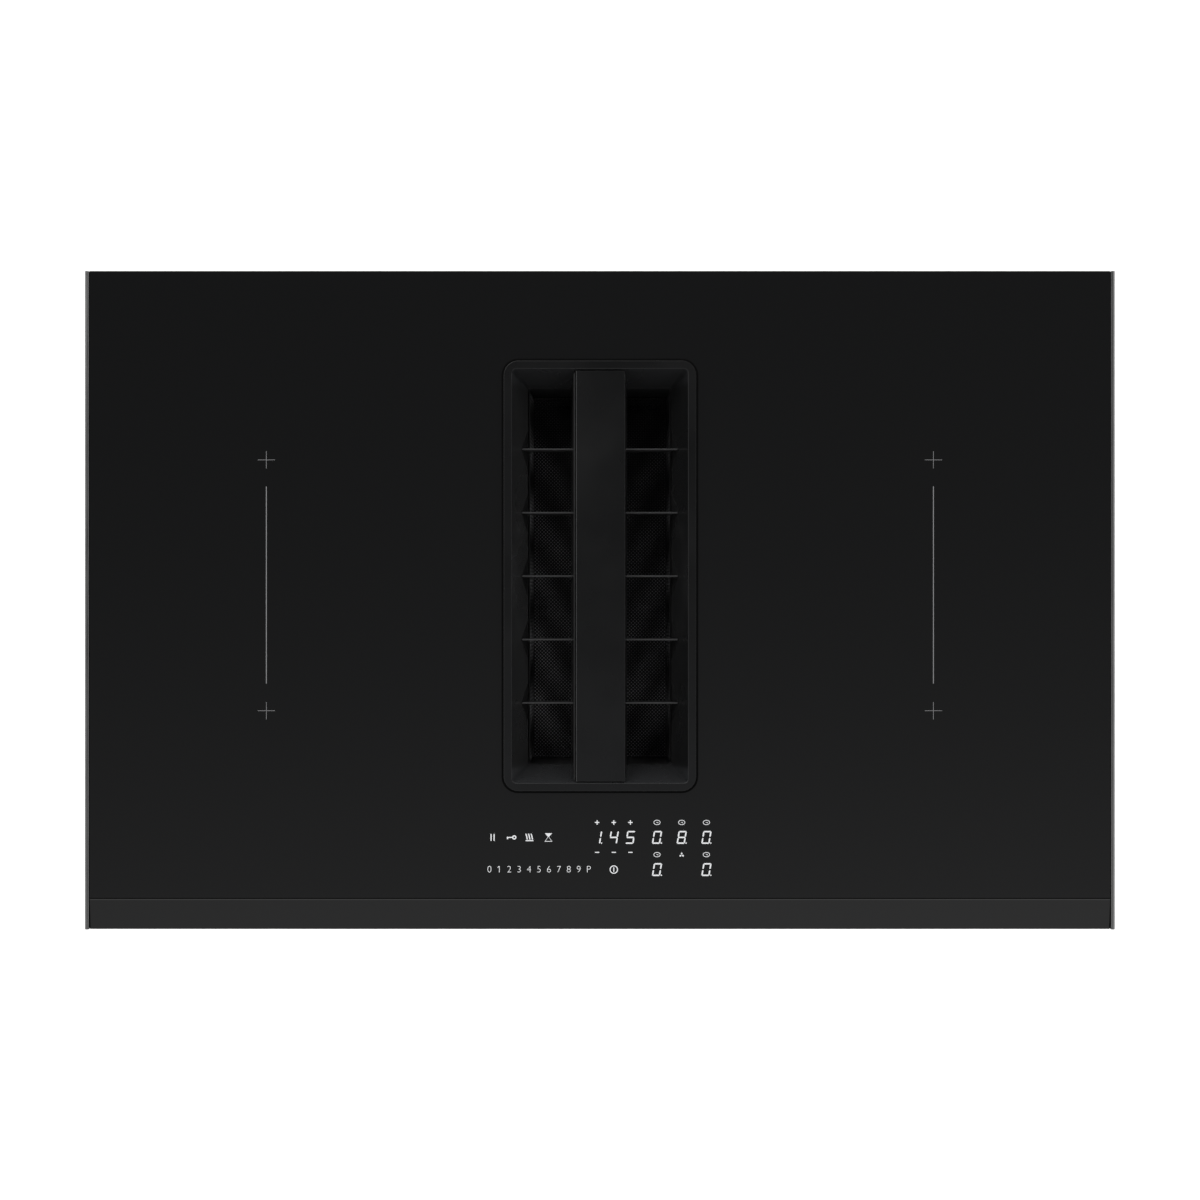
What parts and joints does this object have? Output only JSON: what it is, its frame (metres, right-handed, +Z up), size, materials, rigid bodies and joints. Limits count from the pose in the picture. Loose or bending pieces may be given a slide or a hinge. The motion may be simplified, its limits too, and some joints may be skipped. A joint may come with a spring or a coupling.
{
  "type": "downdraft induction cooktop",
  "caption": "Wide black glass induction cooktop with a long downdraft vent down its middle, touch controls at the front, and a side-mounted blower case below.",
  "frame": {"origin": "centre of the footprint of the whole object, on the plane of the base pads", "axes": "+X right along the glass, +Y to the back of the worktop, +Z up out of the cooking surface"},
  "size_m": [0.814, 0.52, 0.2127],
  "materials": {
    "black_glass": "near-black glass ceramic, polished, with fine grey printed marks",
    "trim_steel": "satin stainless steel",
    "black_metal": "satin black coated metal",
    "black_plastic": "matt black moulded plastic",
    "filter_steel": "stainless steel darkened by shade",
    "zinc_sheet": "zinc-coated steel sheet",
    "aluminium": "plain aluminium",
    "copper_wire": "lacquered copper litz wire",
    "ceramic": "unglazed ceramic",
    "circuit_board": "green circuit board with its parts",
    "rubber": "black rubber",
    "foam": "dark closed-cell sealing tape",
    "white_plastic": "off-white moulded plastic"
  },
  "bodies": {
    "housing": {"glass_top": "black_glass", "worktop_seal": "foam", "side_trim_left": "trim_steel", "side_trim_right": "trim_steel", "vent_frame": "black_metal", "vent_frame_seal": "rubber", "inlet_duct": "black_plastic", "hob_tray": "zinc_sheet", "control_light_guide": "white_plastic", "control_board": "circuit_board", "control_bracket": "black_plastic", "fan_case": "black_plastic", "bottom_cover": "zinc_sheet", "blower_scroll": "black_plastic", "blower_scroll_cover": "black_plastic", "motor_can": "aluminium", "motor_bracket": "zinc_sheet", "outlet_collar": "black_plastic", "cable_gland": "black_plastic", "terminal_block": "ceramic", "coil_plate_left": "aluminium", "power_board_left": "circuit_board", "cooling_fan_housing_left": "black_plastic", "heat_sink_left": "aluminium", "coil_winding_rear_left": "copper_wire", "coil_carrier_rear_left": "white_plastic", "coil_sensor_rear_left": "ceramic", "blower_mount_rear_left": "rubber", "worktop_clip_rear_left": "zinc_sheet", "coil_winding_front_left": "copper_wire", "coil_carrier_front_left": "white_plastic", "coil_sensor_front_left": "ceramic", "blower_mount_front_left": "rubber", "worktop_clip_front_left": "zinc_sheet", "coil_plate_right": "aluminium", "power_board_right": "circuit_board", "cooling_fan_housing_right": "black_plastic", "heat_sink_right": "aluminium", "coil_winding_rear_right": "copper_wire", "coil_carrier_rear_right": "white_plastic", "coil_sensor_rear_right": "ceramic", "blower_mount_rear_right": "rubber", "worktop_clip_rear_right": "zinc_sheet", "coil_winding_front_right": "copper_wire", "coil_carrier_front_right": "white_plastic", "coil_sensor_front_right": "ceramic", "blower_mount_front_right": "rubber", "worktop_clip_front_right": "zinc_sheet"},
    "grille": {"grille_cover": "black_metal", "grille_body": "black_metal"},
    "filter": {"filter_frame": "filter_steel", "filter_net": "filter_steel", "filter_handle": "filter_steel"},
    "wheel": {"blower_wheel": "white_plastic", "motor_shaft": "trim_steel"},
    "rotor_left": {"cooling_fan_rotor_left": "black_plastic"},
    "rotor_right": {"cooling_fan_rotor_right": "black_plastic"},
    "louvre_upper": {"outlet_louvre_upper": "black_plastic"},
    "louvre_lower": {"outlet_louvre_lower": "black_plastic"},
    "drip_tray": {"drip_tray": "black_plastic"}
  },
  "joints": [
    {"name": "grille_lift", "type": "slide", "parent": "housing", "child": "grille", "axis": [0, 0, 1], "range_m": [0, 0.2]},
    {"name": "filter_lift", "type": "slide", "parent": "housing", "child": "filter", "axis": [0, 0, 1], "range_m": [0, 0.12]},
    {"name": "wheel_spin", "type": "hinge", "parent": "housing", "child": "wheel", "pos_m": [0.185, 0.005, 0.0785], "axis": [0, 0, 1], "continuous": true},
    {"name": "fan_spin_left", "type": "hinge", "parent": "housing", "child": "rotor_left", "pos_m": [-0.325, -0.165, 0.17], "axis": [0, 0, 1], "continuous": true},
    {"name": "fan_spin_right", "type": "hinge", "parent": "housing", "child": "rotor_right", "pos_m": [0.325, -0.165, 0.17], "axis": [0, 0, 1], "continuous": true},
    {"name": "louvre_upper_swing", "type": "hinge", "parent": "housing", "child": "louvre_upper", "pos_m": [0.206, 0.224, 0.1177], "axis": [1, 0, 0], "range_deg": [0, 80]},
    {"name": "louvre_lower_swing", "type": "hinge", "parent": "housing", "child": "louvre_lower", "pos_m": [0.206, 0.224, 0.0752], "axis": [1, 0, 0], "range_deg": [0, 80]},
    {"name": "drip_tray_drop", "type": "slide", "parent": "housing", "child": "drip_tray", "axis": [0, 0, -1], "range_m": [0, 0.045]}
  ],
  "couplings": [
    {"joint": "filter_lift", "follows": "grille_lift", "ratio": 0.6}
  ]
}
